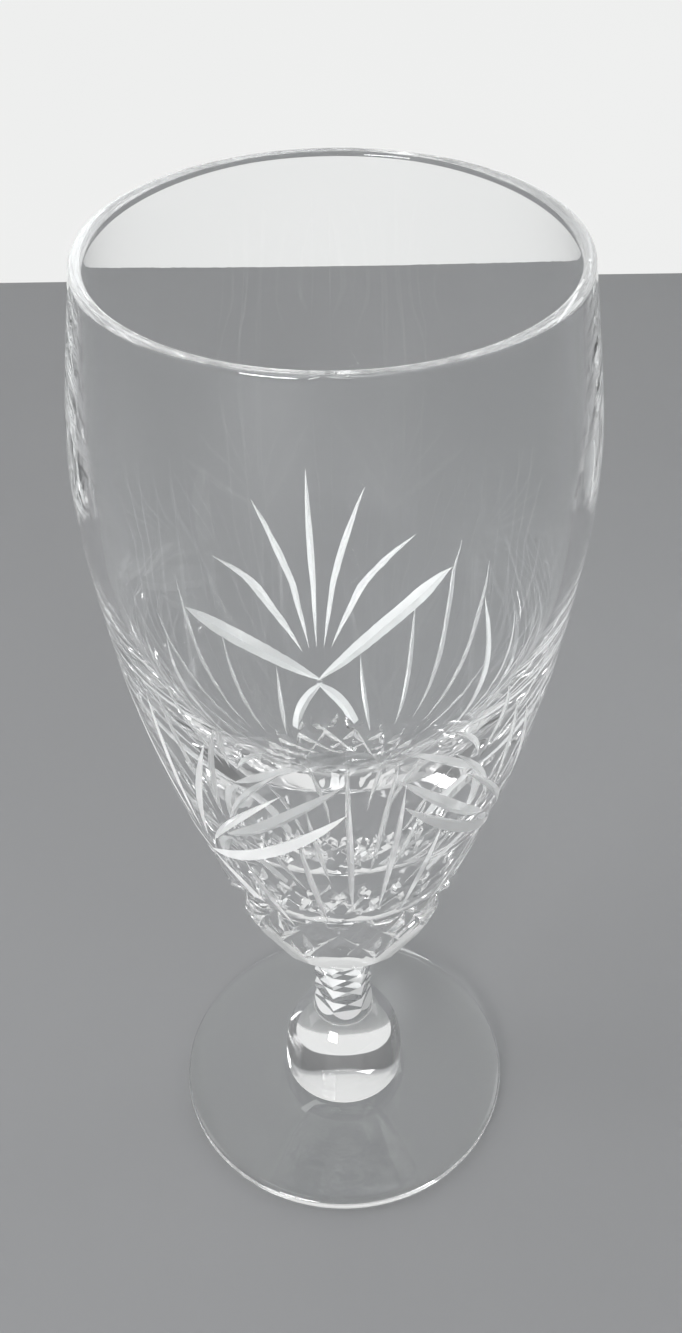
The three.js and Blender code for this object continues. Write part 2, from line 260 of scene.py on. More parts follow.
class StageLook(bpy.types.PropertyGroup):
    """Floor, backdrop, lights and camera."""

    floor: colour("Floor", "Grey floor", (0.30, 0.303, 0.31))
    backdrop: colour("Backdrop", "White backdrop", (0.86, 0.865, 0.86))
    room_tint: colour("Room tint", "Colour of the room's soft light", (0.98, 0.99, 1.0))
    room_front: FloatProperty(name="Room front", description="Light from the camera's side", default=0.12)
    room_back: FloatProperty(name="Room back", description="Light from behind the glass", default=1.0)
    backdrop_distance: length("Backdrop distance", "Behind the glass", 390.0 * MM)
    camera_distance: length("Camera distance", "From the glass's axis, level", 181.5 * MM)
    camera_height: length("Camera height", "Above the floor", 271.4 * MM)
    camera_turn: angle("Camera turn", "Round the glass, from straight in front", -9)
    camera_aim: angle("Camera aim", "Aside from the glass's axis", -0.14)
    camera_pitch: angle("Camera pitch", "How far it looks down", 40.61)
    camera_roll: angle("Camera roll", "Tilt of the picture", -0.76)
    focal_pixels: FloatProperty(name="Focal length", description="In pixels of the photo", default=1429.0)


# Outlines

def spline(points, count):
    """Points along a smooth curve through the given points."""
    knots = np.array(points, float)
    last = len(knots) - 1
    result = []
    for share in np.linspace(0.0, last, count):
        i = min(int(share), last - 1)
        t = share - i
        before, here = knots[max(i - 1, 0)], knots[i]
        there, after = knots[i + 1], knots[min(i + 2, last)]
        leave, arrive = (there - before) / 2, (after - here) / 2
        cubic = 2 * here - 2 * there + leave + arrive
        square = -3 * here + 3 * there - 2 * leave - arrive
        result.append(cubic * t**3 + square * t**2 + leave * t + here)
    return np.array(result)


def bezier(points, count):
    """Points along the Bezier curve with these control points."""
    controls = np.array(points, float)
    degree = len(controls) - 1
    t = np.linspace(0.0, 1.0, count)[:, None]
    total = np.zeros((count, controls.shape[1]))
    for k, control in enumerate(controls):
        total += math.comb(degree, k) * t**k * (1 - t) ** (degree - k) * control
    return total


def arc(centre, radius, start, end, count):
    """Points along a circular arc."""
    turn = np.linspace(start, end, count)
    return np.stack([centre[0] + radius * np.cos(turn), centre[1] + radius * np.sin(turn)], axis=1)


class BowlWall:
    """Outside and inside outline of the bowl, with heights above its base."""

    def __init__(self, sizes):
        self.sizes = sizes
        self.height = BOWL_HIGH.z - BOWL_LOW.z
        self.lip = self.height - sizes.rim_wall / 2
        self.curve = spline([
            (sizes.base_radius, 0.0),
            (sizes.low_radius, sizes.low_height),
            (sizes.bulb_radius, sizes.bulb_height),
            (sizes.waist_radius, sizes.waist_height),
            (sizes.flare_radius, sizes.flare_height),
            (sizes.breast_radius, sizes.breast_height),
            (sizes.belly_radius, sizes.belly_height),
            (sizes.rim_radius, self.lip),
        ], WALL_SAMPLES)
        cup = sizes.floor_height + sizes.cup_rise
        funnel = sizes.floor_height + sizes.funnel_rise
        cup_inside = float(self.radius(cup)) - sizes.cup_wall
        knots = [
            (sizes.rim_radius - sizes.rim_wall, self.lip),
            (sizes.belly_radius - sizes.belly_wall, sizes.belly_height),
            (float(self.radius(sizes.shoulder_height)) - sizes.shoulder_wall, sizes.shoulder_height),
            (sizes.flare_radius - sizes.flare_wall, sizes.flare_height),
            (float(self.radius(funnel)) - sizes.funnel_wall, funnel),
            (cup_inside, cup),
            (0.0, sizes.floor_height),
            (-cup_inside, cup),
        ]
        spans = len(knots) - 1
        self.cavity = spline(knots, spans * CAVITY_STEPS + 1)[:(spans - 1) * CAVITY_STEPS + 1]

    def radius(self, height):
        """Outside radius at a height."""
        return np.interp(height, self.curve[:, 1], self.curve[:, 0])

    def slope(self, height):
        """How fast the outside radius grows with height."""
        step = 0.4 * MM
        return (self.radius(height + step) - self.radius(height - step)) / (2 * step)

    def point(self, turn, height):
        """The place on the outside at a turn and a height."""
        radius = float(self.radius(height))
        return Vector((radius * math.cos(turn), radius * math.sin(turn), height))

    def normal(self, turn, height):
        """The way that the outside faces at a turn and a height."""
        return Vector((math.cos(turn), math.sin(turn), -float(self.slope(height)))).normalized()

    def skin(self, outside_rows, inside_rows):
        """The outline from the edge of the base, over the rim, to the middle of the floor inside."""
        sizes = self.sizes
        up = np.linspace(0, len(self.curve) - 1, outside_rows).astype(int)
        rim_centre = (sizes.rim_radius - sizes.rim_wall / 2, self.lip)
        rim = arc(rim_centre, sizes.rim_wall / 2, 0.0, math.pi, RIM_STEPS)
        down = np.linspace(0, len(self.cavity) - 1, inside_rows).astype(int)[1:]
        inner = self.cavity[down].copy()
        inner[-1] = (0.0, sizes.floor_height)
        return np.concatenate([self.curve[up][:-1], rim, inner])


# Meshes

def turned_mesh(name, outline, base):
    """A closed mesh: an outline of (radius, height) turned about the axis, lifted to its base."""
    body = bmesh.new()
    rings = []
    for radius, height in outline:
        if radius < ON_AXIS:
            rings.append([body.verts.new((0.0, 0.0, base + height))])
            continue
        ring = []
        for i in range(ROUND_SEGMENTS):
            turn = 2 * math.pi * i / ROUND_SEGMENTS
            ring.append(body.verts.new((radius * math.cos(turn), radius * math.sin(turn), base + height)))
        rings.append(ring)
    for low, high in zip(rings, rings[1:]):
        for i in range(ROUND_SEGMENTS):
            j = (i + 1) % ROUND_SEGMENTS
            corners = [low[i % len(low)], low[j % len(low)], high[j % len(high)], high[i % len(high)]]
            body.faces.new(list(dict.fromkeys(corners)))
    return finish_mesh(name, body)


def finish_mesh(name, body):
    """Turns a bmesh into a mesh with its faces pointing out."""
    bmesh.ops.recalc_face_normals(body, faces=body.faces)
    mesh = bpy.data.meshes.new(name)
    body.to_mesh(mesh)
    body.free()
    return mesh


def new_object(name, mesh):
    """An object for a mesh, linked into the scene."""
    obj = bpy.data.objects.new(name, mesh)
    bpy.context.scene.collection.objects.link(obj)
    return obj


def loft_mesh(name, rings):
    """A closed bar through rings of points, with flat ends."""
    body = bmesh.new()
    loops = [[body.verts.new(point) for point in ring] for ring in rings]
    for low, high in zip(loops, loops[1:]):
        for i in range(len(low)):
            j = (i + 1) % len(low)
            body.faces.new((low[i], low[j], high[j], high[i]))
    body.faces.new(loops[0])
    body.faces.new(loops[-1])
    return finish_mesh(name, body)


def mitre_cutter(name, wall, path, depth, half_angle, blunt):
    """A V-shaped bar that follows points of (turn, height) on the wall and runs out at both ends."""
    rings = []
    lift = Vector((0.0, 0.0, BOWL_LOW.z))
    last = len(path) - 1
    for i, (turn, height) in enumerate(path):
        ahead = wall.point(*path[min(i + 1, last)])
        behind = wall.point(*path[max(i - 1, 0)])
        normal = wall.normal(turn, height)
        across = (ahead - behind).cross(normal).normalized()
        bite = depth * (1 - abs(2 * i / last - 1) ** blunt) - RUN_OUT
        half = (bite + CUT_LIFT) * math.tan(half_angle)
        middle = wall.point(turn, height) + lift
        top = middle + normal * CUT_LIFT
        rings.append([middle - normal * bite, top + across * half, top - across * half])
    return new_object(name, loft_mesh(name, rings))


def slab_cutter(name, size, matrix):
    """A block placed by a matrix, for cutting a flat."""
    body = bmesh.new()
    bmesh.ops.create_cube(body, size=1.0, matrix=matrix @ Matrix.Diagonal((*size, 1.0)))
    return new_object(name, finish_mesh(name, body))


def split_faces(mesh):
    """Splits a mesh's faces finely enough for the finish to bake well."""
    body = bmesh.new()
    body.from_mesh(mesh)
    bmesh.ops.subdivide_edges(body, edges=body.edges, cuts=STEM_SPLITS, use_grid_fill=True)
    body.to_mesh(mesh)
    body.free()


# Geometry node trees

def add_sockets(tree, inputs, output):
    """Gives a tree its named inputs, each of a kind, and its one output of geometry."""
    for name, kind in inputs.items():
        tree.interface.new_socket(name, in_out="INPUT", socket_type="NodeSocket" + kind)
    tree.interface.new_socket(output, in_out="OUTPUT", socket_type="NodeSocketGeometry")


def repeat_group():
    """A node group that sets copies of a cutter at equal turns round the axis, in rows."""
    name = "Repeat round the axis"
    if name in bpy.data.node_groups:
        return bpy.data.node_groups[name]
    group = bpy.data.node_groups.new(name, "GeometryNodeTree")
    add_sockets(group, {"Cutter": "Object", "Copies": "Int", "Rows": "Int", "Rise": "Float"}, "Cutters")
    make, link = group.nodes.new, group.links.new
    given = make("NodeGroupInput")
    total = maths(group, "MULTIPLY", given.outputs["Copies"], given.outputs["Rows"])
    index = make("GeometryNodeInputIndex")
    row = maths(group, "FLOOR", maths(group, "DIVIDE", index.outputs[0], given.outputs["Copies"]))
    whole_turns = maths(group, "MULTIPLY", index.outputs[0], 2 * math.pi)
    turn = maths(group, "DIVIDE", whole_turns, given.outputs["Copies"])
    place = make("ShaderNodeCombineXYZ")
    link(maths(group, "MULTIPLY", row, given.outputs["Rise"]), place.inputs["Z"])
    spin = make("ShaderNodeCombineXYZ")
    link(turn, spin.inputs["Z"])
    euler = make("FunctionNodeEulerToRotation")
    link(spin.outputs[0], euler.inputs[0])
    points = make("GeometryNodePoints")
    link(total, points.inputs["Count"])
    link(place.outputs[0], points.inputs["Position"])
    source = make("GeometryNodeObjectInfo")
    link(given.outputs["Cutter"], source.inputs["Object"])
    copies = make("GeometryNodeInstanceOnPoints")
    link(points.outputs[0], copies.inputs["Points"])
    link(source.outputs["Geometry"], copies.inputs["Instance"])
    link(euler.outputs[0], copies.inputs["Rotation"])
    result = make("NodeGroupOutput")
    link(copies.outputs[0], result.inputs[0])
    return group


def maths(tree, operation, first, second=None):
    """A Math node whose inputs are sockets or numbers."""
    node = tree.nodes.new("ShaderNodeMath")
    node.operation = operation
    for socket, value in zip(node.inputs, (first, second)):
        if isinstance(value, bpy.types.NodeSocket):
            tree.links.new(value, socket)
        elif value is not None:
            socket.default_value = value
    return node.outputs[0]


def cut_tree(name, cutters, counts, polished):
    """A tree that takes repeated cutters out of a blank, then polishes the faces that no cutter made."""
    tree = bpy.data.node_groups.new(name, "GeometryNodeTree")
    kinds = {"Blank": "Geometry", **dict.fromkeys(counts, "Int"), "Rows": "Int", "Rise": "Float"}
    add_sockets(tree, kinds, "Piece")
    make, link = tree.nodes.new, tree.links.new
    given = make("NodeGroupInput")
    boolean = make("GeometryNodeMeshBoolean")
    boolean.operation = "DIFFERENCE"
    boolean.solver = "MANIFOLD"
    link(given.outputs["Blank"], boolean.inputs["Mesh 1"])
    for cutter, label, finish in cutters:
        cutter.data.materials.append(finish)
        ring = make("GeometryNodeGroup")
        ring.node_tree = repeat_group()
        ring.inputs["Cutter"].default_value = cutter
        link(given.outputs[label], ring.inputs["Copies"])
        link(given.outputs["Rows"], ring.inputs["Rows"])
        link(given.outputs["Rise"], ring.inputs["Rise"])
        link(ring.outputs[0], boolean.inputs["Mesh 2"])
    solid = make("GeometryNodeRealizeInstances")
    link(boolean.outputs["Mesh"], solid.inputs[0])
    polish = make("GeometryNodeSetMaterial")
    polish.inputs["Material"].default_value = polished
    finishes = dict.fromkeys(finish for cutter, label, finish in cutters)
    link(uncut_faces(tree, finishes), polish.inputs["Selection"])
    link(solid.outputs[0], polish.inputs["Geometry"])
    result = make("NodeGroupOutput")
    link(polish.outputs[0], result.inputs[0])
    return tree


def uncut_faces(tree, finishes):
    """Selects the faces that have none of the cutters' finishes."""
    make, link = tree.nodes.new, tree.links.new
    picked = None
    for finish in finishes:
        has_finish = make("GeometryNodeMaterialSelection")
        has_finish.inputs["Material"].default_value = finish
        without = make("FunctionNodeBooleanMath")
        without.operation = "NIMPLY"
        without.inputs[0].default_value = True
        if picked is not None:
            link(picked, without.inputs[0])
        link(has_finish.outputs[0], without.inputs[1])
        picked = without.outputs[0]
    return picked


def carve(obj, cutters, counts, polished, rows=1, rise=0.0):
    """Cuts the blank by a tree, makes the result a plain mesh and removes the cutters."""
    tree = cut_tree(obj.name + " cuts", cutters, counts, polished)
    modifier = obj.modifiers.new("Cuts", "NODES")
    modifier.node_group = tree
    values = {**counts, "Rows": rows, "Rise": rise}
    for item in tree.interface.items_tree:
        if item.in_out == "INPUT" and item.name in values:
            modifier[item.identifier] = values[item.name]
    graph = bpy.context.evaluated_depsgraph_get()
    mesh = bpy.data.meshes.new_from_object(obj.evaluated_get(graph), depsgraph=graph)
    blank = obj.data
    obj.modifiers.clear()
    obj.data = mesh
    bpy.data.meshes.remove(blank)
    for cutter, label, finish in cutters:
        bpy.data.objects.remove(cutter)
    if len(mesh.polygons) < ROUND_SEGMENTS:
        raise RuntimeError(f"{obj.name} came out of its cuts with {len(mesh.polygons)} faces")
    return mesh


# Finishing

def outline_normals(outline):
    """Unit normals of an outline that runs with the glass on its left."""
    step = np.gradient(outline, axis=0)
    normal = np.stack([step[:, 1], -step[:, 0]], axis=1)
    return normal / np.maximum(np.linalg.norm(normal, axis=1, keepdims=True), 1e-12)


def nearest_rows(points, outline):
    """The row of the outline that lies nearest to each point of (radius, height)."""
    nearest = np.empty(len(points), int)
    for start in range(0, len(points), MATCH_BATCH):
        part = points[start:start + MATCH_BATCH]
        gap = ((part[:, None, :] - outline[None, :, :]) ** 2).sum(axis=2)
        nearest[start:start + MATCH_BATCH] = gap.argmin(axis=1)
    return nearest


def turned_normals(place, outline, base):
    """The true normal of the turned outline at each place."""
    radius = np.hypot(place[:, 0], place[:, 1])
    flat = np.stack([radius, place[:, 2] - base], axis=1)
    normal = outline_normals(outline)[nearest_rows(flat, outline)]
    outward = place[:, :2] / np.maximum(radius, 1e-9)[:, None]
    return np.column_stack([outward * normal[:, :1], normal[:, 1]])


def read_values(items, name, width, kind=float):
    """One attribute of all the items of a mesh."""
    values = np.zeros(len(items) * width, kind)
    items.foreach_get(name, values)
    return values.reshape(-1, width) if width > 1 else values


def smooth_turned(mesh, outline, base, polished):
    """Gives polished faces the true normals of the turned outline, and keeps the edges of cuts crisp."""
    mesh.set_sharp_from_angle(angle=SHARP_ANGLE)
    mesh.update()
    corner = read_values(mesh.corner_normals, "vector", 3)
    owner = read_values(mesh.loops, "vertex_index", 1, int)
    finish = read_values(mesh.polygons, "material_index", 1, int)
    sides = read_values(mesh.polygons, "loop_total", 1, int)
    true = turned_normals(read_values(mesh.vertices, "co", 3), outline, base)
    is_polished = np.repeat(finish, sides) == polished
    corner[is_polished] = true[owner[is_polished]]
    mesh.normals_split_custom_set(corner.tolist())


def mark_joints(mesh, joint, levels):
    """Gives the flat faces where two pieces are fused the clear joint finish."""
    mesh.materials.append(joint)
    index = len(mesh.materials) - 1
    for face in mesh.polygons:
        level = any(abs(face.center.z - height) < JOINT_TOLERANCE for height in levels)
        if level and abs(face.normal.z) > LEVEL_NORMAL:
            face.material_index = index


def place_piece(obj, node):
    """Makes a finished piece stand for its solid."""
    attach(obj, "root")
    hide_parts(node)


# Materials

def new_material(name):
    """A material with an empty node tree."""
    material = bpy.data.materials.new(name)
    material.use_nodes = True
    material.node_tree.nodes.clear()
    return material


def noise(tree, place, scale, detail):
    """A noise over a place, from 0 to 1."""
    node = tree.nodes.new("ShaderNodeTexNoise")
    node.inputs["Scale"].default_value = scale
    node.inputs["Detail"].default_value = detail
    tree.links.new(place, node.inputs["Vector"])
    return node.outputs["Fac"]


def mixed(tree, share, first, second):
    """The first shader where the share is 0, the second where it is 1."""
    node = tree.nodes.new("ShaderNodeMixShader")
    for socket, value in zip(node.inputs, (share, first, second)):
        tree.links.new(value, socket)
    return node.outputs[0]


def set_surface(material, shader):
    """Ends a material's tree and hands the material back."""
    result = material.node_tree.nodes.new("ShaderNodeOutputMaterial")
    material.node_tree.links.new(shader, result.inputs["Surface"])
    return material


def surface_marks(tree, place, marks):
    """Fine marks in the surface, as a normal."""
    make, link = tree.nodes.new, tree.links.new
    fineness, stretch, depth = marks
    turn = make("ShaderNodeMapping")
    turn.inputs["Scale"].default_value = stretch
    link(place, turn.inputs["Vector"])
    bump = make("ShaderNodeBump")
    bump.inputs["Strength"].default_value = 1.0
    bump.inputs["Distance"].default_value = depth
    link(noise(tree, turn.outputs[0], fineness, detail=3.0), bump.inputs["Height"])
    return bump.outputs[0]


def surface_haze(tree, place, haze):
    """Uneven roughness between two levels."""
    level = tree.nodes.new("ShaderNodeMapRange")
    level.inputs["From Min"].default_value = 0.45
    level.inputs["From Max"].default_value = 0.75
    level.inputs["To Min"].default_value = haze[0]
    level.inputs["To Max"].default_value = haze[1]
    tree.links.new(noise(tree, place, scale=60.0, detail=5.0), level.inputs["Value"])
    return level.outputs[0]


def crystal_material(name, look, shade, marks, haze, clearness=1.0):
    """Clear crystal with faint marks in its surface, and a shadow that lets some light through."""
    material = new_material(name)
    tree = material.node_tree
    make, link = tree.nodes.new, tree.links.new
    place = make("ShaderNodeTexCoord").outputs["Object"]
    glass = make("ShaderNodeBsdfPrincipled")
    glass.inputs["Base Color"].default_value = (*look.tint, 1.0)
    glass.inputs["IOR"].default_value = look.refraction
    glass.inputs["Transmission Weight"].default_value = clearness
    link(surface_haze(tree, place, haze), glass.inputs["Roughness"])
    link(surface_marks(tree, place, marks), glass.inputs["Normal"])
    through = make("ShaderNodeBsdfTransparent")
    through.inputs["Color"].default_value = (*shade, 1.0)
    shadow = make("ShaderNodeLightPath").outputs["Is Shadow Ray"]
    return set_surface(material, mixed(tree, shadow, glass.outputs[0], through.outputs[0]))


def polished_crystal(name, look, shade):
    """Fire-polished crystal, with faint upright flow marks."""
    return crystal_material(name, look, shade, FLOW_MARKS, haze=(0.0, 0.02))


def cut_crystal(name, look, shade):
    """Crystal cut on a wheel and polished bright, with the wheel's fine marks left in it."""
    return crystal_material(name, look, shade, WHEEL_MARKS, haze=(0.0, 0.05))


def grey_crystal(name, look, shade):
    """Crystal cut on a wheel and polished only a little, so that the cut is part clear and part white."""
    return crystal_material(name, look, shade, WHEEL_MARKS, haze=(0.1, 0.25), clearness=0.7)


def satin_crystal(name, look, shade):
    """Crystal cut on a wheel and left a little grey, so that the cut catches light and shows white."""
    return crystal_material(name, look, shade, WHEEL_MARKS, haze=(0.15, 0.3), clearness=0.42)


def joint_crystal(name):
    """The inside of a fused joint, which can't be seen."""
    material = new_material(name)
    clear = material.node_tree.nodes.new("ShaderNodeBsdfTransparent")
    return set_surface(material, clear.outputs[0])


def shown_as_written(tree, surface, tone):
    """Shows a sheet at its written colour to the eye, in reflections and through the glass."""
    ray = tree.nodes.new("ShaderNodeLightPath")
    in_glass = maths(tree, "MAXIMUM", ray.outputs["Is Glossy Ray"], ray.outputs["Is Transmission Ray"])
    seen = maths(tree, "MAXIMUM", ray.outputs["Is Camera Ray"], in_glass)
    plain = tree.nodes.new("ShaderNodeEmission")
    tree.links.new(tone, plain.inputs["Color"])
    return mixed(tree, seen, surface, plain.outputs[0])


def stage_material(name, tone, variation, one_sided=False):
    """A matt surface with faint clouding; a one-sided sheet can't be seen from behind."""
    material = new_material(name)
    tree = material.node_tree
    make, link = tree.nodes.new, tree.links.new
    place = make("ShaderNodeTexCoord").outputs["Object"]
    ramp = make("ShaderNodeValToRGB")
    ramp.color_ramp.elements[0].color = (*(part * (1 - variation) for part in tone), 1.0)
    ramp.color_ramp.elements[1].color = (*(min(1.0, part * (1 + variation)) for part in tone), 1.0)
    link(noise(tree, place, scale=7.0, detail=4.0), ramp.inputs["Fac"])
    matt = make("ShaderNodeBsdfPrincipled")
    matt.inputs["Roughness"].default_value = 0.7
    link(ramp.outputs["Color"], matt.inputs["Base Color"])
    surface = matt.outputs[0]
    if one_sided:
        material.cycles.emission_sampling = "NONE"
        shown = shown_as_written(tree, surface, ramp.outputs["Color"])
        behind = make("ShaderNodeNewGeometry").outputs["Backfacing"]
        surface = mixed(tree, behind, shown, make("ShaderNodeBsdfTransparent").outputs[0])
    return set_surface(material, surface)


# Lights

def area_light(name, size, watts, place, target, shows_in_glass):
    """A soft rectangular lamp that looks at a point."""
    data = bpy.data.lights.new(name, "AREA")
    data.shape = "RECTANGLE"
    data.size, data.size_y = size
    data.energy = watts
    lamp = bpy.data.objects.new(name, data)
    aim = Vector(target) - Vector(place)
    lamp.matrix_world = Matrix.Translation(place) @ aim.to_track_quat("-Z", "Y").to_matrix().to_4x4()
    lamp.visible_transmission = shows_in_glass
    bpy.context.scene.collection.objects.link(lamp)


# Cuts on the bowl

def blade_path(axis, spread, foot, tip, bend):
    """A blade's path from foot to tip, with shares of its spread at the foot and half way."""
    middle = (axis + bend[1] * spread, (foot + tip) / 2)
    return bezier([(axis + bend[0] * spread, foot), middle, (axis + spread, tip)], CUT_STEPS)


def node_paths(cuts, axis, hand):
    """The paths of one wing and one side of the arch, which both start just past the fan's node."""
    wing, wing_tip = hand * math.radians(WING_TIP[0]), WING_TIP[1]
    arch, arch_foot = hand * math.radians(ARCH_FOOT[0]), ARCH_FOOT[1]
    node = (axis - hand * math.radians(PAST_NODE[0]), cuts.fan_node - PAST_NODE[1])
    rise = cuts.fan_node + WING_BEND[1] * (wing_tip - cuts.fan_node)
    drop = (cuts.fan_node + arch_foot) / 2 + ARCH_SWELL
    wing_bend = [node, (axis + WING_BEND[0] * wing, rise), (axis + wing, wing_tip)]
    arch_bend = [node, (axis + ARCH_BEND * arch, drop), (axis + arch, arch_foot)]
    return bezier(wing_bend, CUT_STEPS), bezier(arch_bend, CUT_STEPS)


def fan_cutters(wall, cuts):
    """One fan that faces +Y: blades above a node, two wings that cross there and an arch below."""
    axis = math.pi / 2
    foot = cuts.fan_node + cuts.fan_gap
    result = []
    for degrees, tip in FAN_TIPS:
        path = blade_path(axis, math.radians(degrees), foot, tip, FAN_BEND)
        result.append(mitre_cutter("fan_blade", wall, path, cuts.blade_depth, cuts.mitre, BLADE_BLUNTNESS))
    for hand in (1, -1):
        for name, path in zip(("fan_wing", "fan_arch"), node_paths(cuts, axis, hand)):
            result.append(mitre_cutter(name, wall, path, cuts.wing_depth, cuts.mitre, WING_BLUNTNESS))
    return result


def plume_cutters(wall, cuts):
    """One plume between two fans: thin blades that rise from a root."""
    axis = math.pi / 2 + math.pi / cuts.fans
    result = []
    for degrees, tip, foot in PLUME_BLADES:
        for spread in (math.radians(degrees), -math.radians(degrees)):
            path = blade_path(axis, spread, foot, tip, PLUME_BEND)
            result.append(
                mitre_cutter("plume_blade", wall, path, cuts.plume_depth, cuts.mitre, BLADE_BLUNTNESS))
    return result


def lattice_top(cuts, turn):
    """Upper edge of the lattice, with a peak under each arch."""
    sector = 2 * math.pi / cuts.fans
    aside = abs((turn - math.pi / 2 + sector / 2) % sector - sector / 2)
    peak = np.maximum(0.0, 1 - aside / cuts.arch_peak_spread)
    return cuts.lattice_high + (cuts.arch_peak - cuts.lattice_high) * peak


def flute_runs(wall, cuts, start, hand):
    """A path that climbs the wall at a steady slope, as the runs of it that lie in the lattice."""
    heights = np.arange(cuts.flute_low, cuts.arch_peak, FLUTE_SAMPLE)
    turns = start + hand * np.cumsum(FLUTE_SAMPLE / (wall.radius(heights) * math.tan(cuts.flute_slope)))
    inside = heights < lattice_top(cuts, turns)
    edges = np.nonzero(np.diff(np.concatenate([[False], inside, [False]]).astype(int)))[0]
    for first, last in zip(edges[::2], edges[1::2]):
        if (last - first) * FLUTE_SAMPLE > cuts.flute_shortest:
            keep = np.linspace(first, last - 1, FLUTE_STEPS).astype(int)
            yield np.stack([turns[keep], heights[keep]], axis=1)


def flute_cutters(wall, cuts):
    """The flutes of one sector, of two families that cross in a lattice of diamonds."""
    result = []
    in_sector = cuts.flutes // cuts.fans
    for hand, depth in ((1, cuts.flute_depth), (-1, cuts.cross_depth)):
        for i in range(in_sector):
            start = math.pi / 2 + 2 * math.pi * (i + 0.5) / (in_sector * cuts.fans)
            for path in flute_runs(wall, cuts, start, hand):
                result.append(mitre_cutter("flute", wall, path, depth, cuts.flute_mitre, FLUTE_BLUNTNESS))
    return result


def petal_cutter(wall, height, depth, turn):
    """A flat that looks out and down, just above the stem."""
    place = wall.point(turn, height) + Vector((0.0, 0.0, BOWL_LOW.z))
    normal = wall.normal(turn, height)
    matrix = Matrix.Translation(place - normal * depth)
    matrix = matrix @ normal.to_track_quat("X", "Z").to_matrix().to_4x4()
    matrix = matrix @ Matrix.Translation((BLOCK / 2, 0.0, 0.0))
    return slab_cutter("petal", (BLOCK, BLOCK, BLOCK), matrix)


# Operators

class GLASS_OT_bowl(bpy.types.Operator):
    """Turn the bowl, cut its pattern and finish it"""

    bl_idname = "glass.bowl"
    bl_label = "Bowl"

    def execute(self, context):
        scene = context.scene
        wall = BowlWall(scene.glass_bowl)
        cuts, look = scene.glass_cuts, scene.glass_look
        outline = np.concatenate([[(0.0, 0.0)], wall.skin(*BOWL_ROWS)])
        bowl = new_object("cut_bowl", turned_mesh("cut_bowl", outline, BOWL_LOW.z))
        polished = polished_crystal("bowl polished crystal", look, look.bowl_shade)
        bright = cut_crystal("bowl cut crystal", look, look.bowl_shade)
        satin = satin_crystal("bowl satin crystal", look, look.bowl_shade)
        grey = grey_crystal("bowl grey crystal", look, look.bowl_shade)
        cutters = [(cutter, "Fans", satin) for cutter in fan_cutters(wall, cuts)]
        cutters += [(cutter, "Fans", grey) for cutter in plume_cutters(wall, cuts)]
        cutters += [(cutter, "Fans", bright) for cutter in flute_cutters(wall, cuts)]
        petal = petal_cutter(wall, cuts.petal_height, cuts.petal_depth, 0.0)
        kite = petal_cutter(wall, cuts.kite_height, cuts.kite_depth, math.pi / cuts.petals)
        cutters += [(petal, "Petals", bright), (kite, "Petals", bright)]
        mesh = carve(bowl, cutters, {"Fans": cuts.fans, "Petals": cuts.petals}, polished)
        mark_joints(mesh, joint_crystal("bowl joint"), [BOWL_LOW.z])
        index = mesh.materials.find(polished.name)
        smooth_turned(mesh, wall.skin(*BOWL_NORMAL_ROWS), BOWL_LOW.z, index)
        place_piece(bowl, "bowl")
        return {"FINISHED"}


class GLASS_OT_stem(bpy.types.Operator):
    """Make the six-sided stem and notch its edges"""

    bl_idname = "glass.stem"
    bl_label = "Stem"

    def execute(self, context):
        sizes, look = context.scene.glass_stem, context.scene.glass_look
        corner = sizes.across_corners / 2
        rings = []
        for height in (STEM_LOW.z, STEM_HIGH.z):
            turns = [2 * math.pi * i / sizes.sides for i in range(sizes.sides)]
            rings.append([(corner * math.cos(t), corner * math.sin(t), height) for t in turns])
        stem = new_object("notched_stem", loft_mesh("notched_stem", rings))
        split_faces(stem.data)
        rise = (STEM_HIGH.z - STEM_LOW.z) / sizes.rows
        half = 2 * sizes.notch_depth
        place = Vector((corner - sizes.notch_depth + half, 0.0, STEM_LOW.z + rise / 2))
        matrix = Matrix.Translation(place) @ Matrix.Rotation(math.pi / 4, 4, "Y")
        edge = half * math.sqrt(2)
        notch = slab_cutter("notch", (edge, sizes.across_corners, edge), matrix)
        polished = polished_crystal("stem polished crystal", look, look.shade)
        satin = satin_crystal("stem satin crystal", look, look.bowl_shade)
        counts = {"Notches": sizes.sides}
        mesh = carve(stem, [(notch, "Notches", satin)], counts, polished, sizes.rows, rise)
        mark_joints(mesh, joint_crystal("stem joint"), [STEM_LOW.z, STEM_HIGH.z])
        place_piece(stem, "stem")
        return {"FINISHED"}


